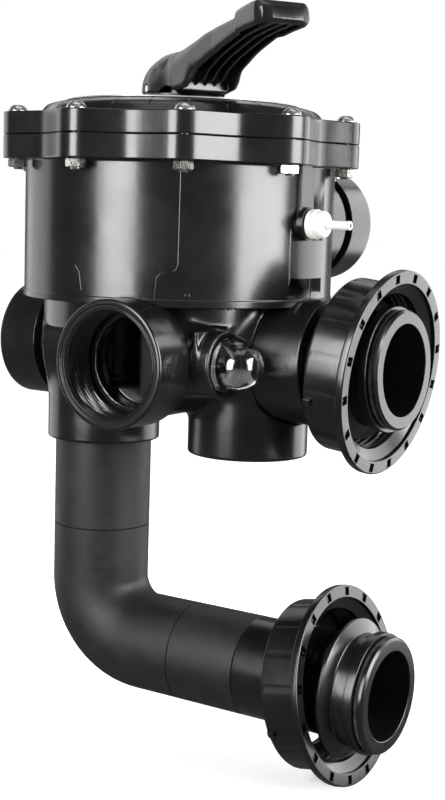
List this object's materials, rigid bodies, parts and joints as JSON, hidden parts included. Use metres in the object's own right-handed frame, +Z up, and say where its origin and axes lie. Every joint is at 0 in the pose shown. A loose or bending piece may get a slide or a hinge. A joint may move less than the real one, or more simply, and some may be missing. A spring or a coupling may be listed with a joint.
{
  "type": "multiport valve",
  "caption": "Side-mount six-way multiport valve for a pool filter: bolted bowl, lever selector, threaded and plain ports, two union connections.",
  "frame": {"origin": "centre of the upper union tailpiece's end face, on its axis, where it meets the filter tank's upper connection", "axes": "+X out of the unions towards the filter tank, +Y away from the waste port (towards the pump port), +Z up along the valve's own axis"},
  "size_m": [0.279, 0.2434, 0.4561],
  "materials": {
    "black_abs": "glossy injection-moulded black ABS",
    "handle_abs": "semi-gloss moulded black ABS",
    "pipe_abs": "satin extruded dark grey ABS pipe",
    "epdm_rubber": "matt black EPDM",
    "stainless": "bright A2 stainless steel",
    "white_nylon": "white moulded nylon",
    "clear_cover": "clear polycarbonate",
    "plate_film": "satin grey printed plate"
  },
  "bodies": {
    "valve_assembly": {"cross_pipe": "pipe_abs", "drop_pipe": "pipe_abs", "drop_socket": "black_abs", "elbow": "pipe_abs", "filter_neck": "black_abs", "filter_top_socket": "black_abs", "gauge_plug": "white_nylon", "gauge_plug_seal": "epdm_rubber", "lid": "black_abs", "lid_bolt_01": "stainless", "lid_bolt_02": "stainless", "lid_bolt_03": "stainless", "lid_bolt_04": "stainless", "lid_bolt_05": "stainless", "lid_bolt_06": "stainless", "lid_bolt_07": "stainless", "lid_bolt_08": "stainless", "lid_bolt_09": "stainless", "lid_bolt_10": "stainless", "lid_nut_01": "stainless", "lid_nut_02": "stainless", "lid_nut_03": "stainless", "lid_nut_04": "stainless", "lid_nut_05": "stainless", "lid_nut_06": "stainless", "lid_nut_07": "stainless", "lid_nut_08": "stainless", "lid_nut_09": "stainless", "lid_nut_10": "stainless", "lid_seal": "epdm_rubber", "port_manifold": "black_abs", "position_plate": "plate_film", "pump_socket": "black_abs", "return_neck": "black_abs", "return_socket": "black_abs", "sight_glass": "clear_cover", "sight_glass_seal": "epdm_rubber", "spare_socket": "black_abs", "spring_washer_upper": "stainless", "star_gasket": "epdm_rubber", "union_seal_lower": "epdm_rubber", "union_seal_upper": "epdm_rubber", "union_tail_lower": "black_abs", "union_tail_upper": "black_abs", "valve_bowl": "black_abs", "waste_neck": "black_abs", "waste_socket": "black_abs"},
    "selector_turret": {"thrust_washer": "white_nylon"},
    "diverter_assembly": {"diverter": "black_abs", "diverter_spring": "stainless", "spring_washer_lower": "stainless", "shaft_seal_1": "epdm_rubber", "shaft_seal_2": "epdm_rubber", "handle_pin": "stainless"},
    "handle": {"selector_handle": "handle_abs"},
    "upper_union_nut": {"union_nut_upper": "black_abs"},
    "lower_union_nut": {"union_nut_lower": "black_abs"}
  },
  "joints": [
    {"name": "selector_turn", "type": "hinge", "parent": "valve_assembly", "child": "selector_turret", "pos_m": [-0.162, 0, 0.157], "axis": [0, 0, 1], "continuous": true},
    {"name": "diverter_lift", "type": "slide", "parent": "selector_turret", "child": "diverter_assembly", "axis": [0, 0, 1], "range_m": [0, 0.0052], "stiffness_N_per_m": 2900, "springref_m": -0.024, "deforming": ["diverter_spring"]},
    {"name": "handle_press", "type": "hinge", "parent": "diverter_assembly", "child": "handle", "pos_m": [-0.162, 0, 0.161], "axis": [0.5, 0.866, 0], "range_deg": [0, 12]},
    {"name": "upper_nut_spin", "type": "hinge", "parent": "valve_assembly", "child": "upper_union_nut", "pos_m": [-0.0074, 0, -0.0023], "axis": [0.9945, 0, -0.1045], "continuous": true},
    {"name": "lower_nut_spin", "type": "hinge", "parent": "valve_assembly", "child": "lower_union_nut", "pos_m": [-0.028, 0, -0.1936], "axis": [0.9848, 0, 0.1736], "continuous": true}
  ],
  "couplings": [
    {"joint": "handle_press", "follows": "diverter_lift", "rad_per_m": 40}
  ]
}
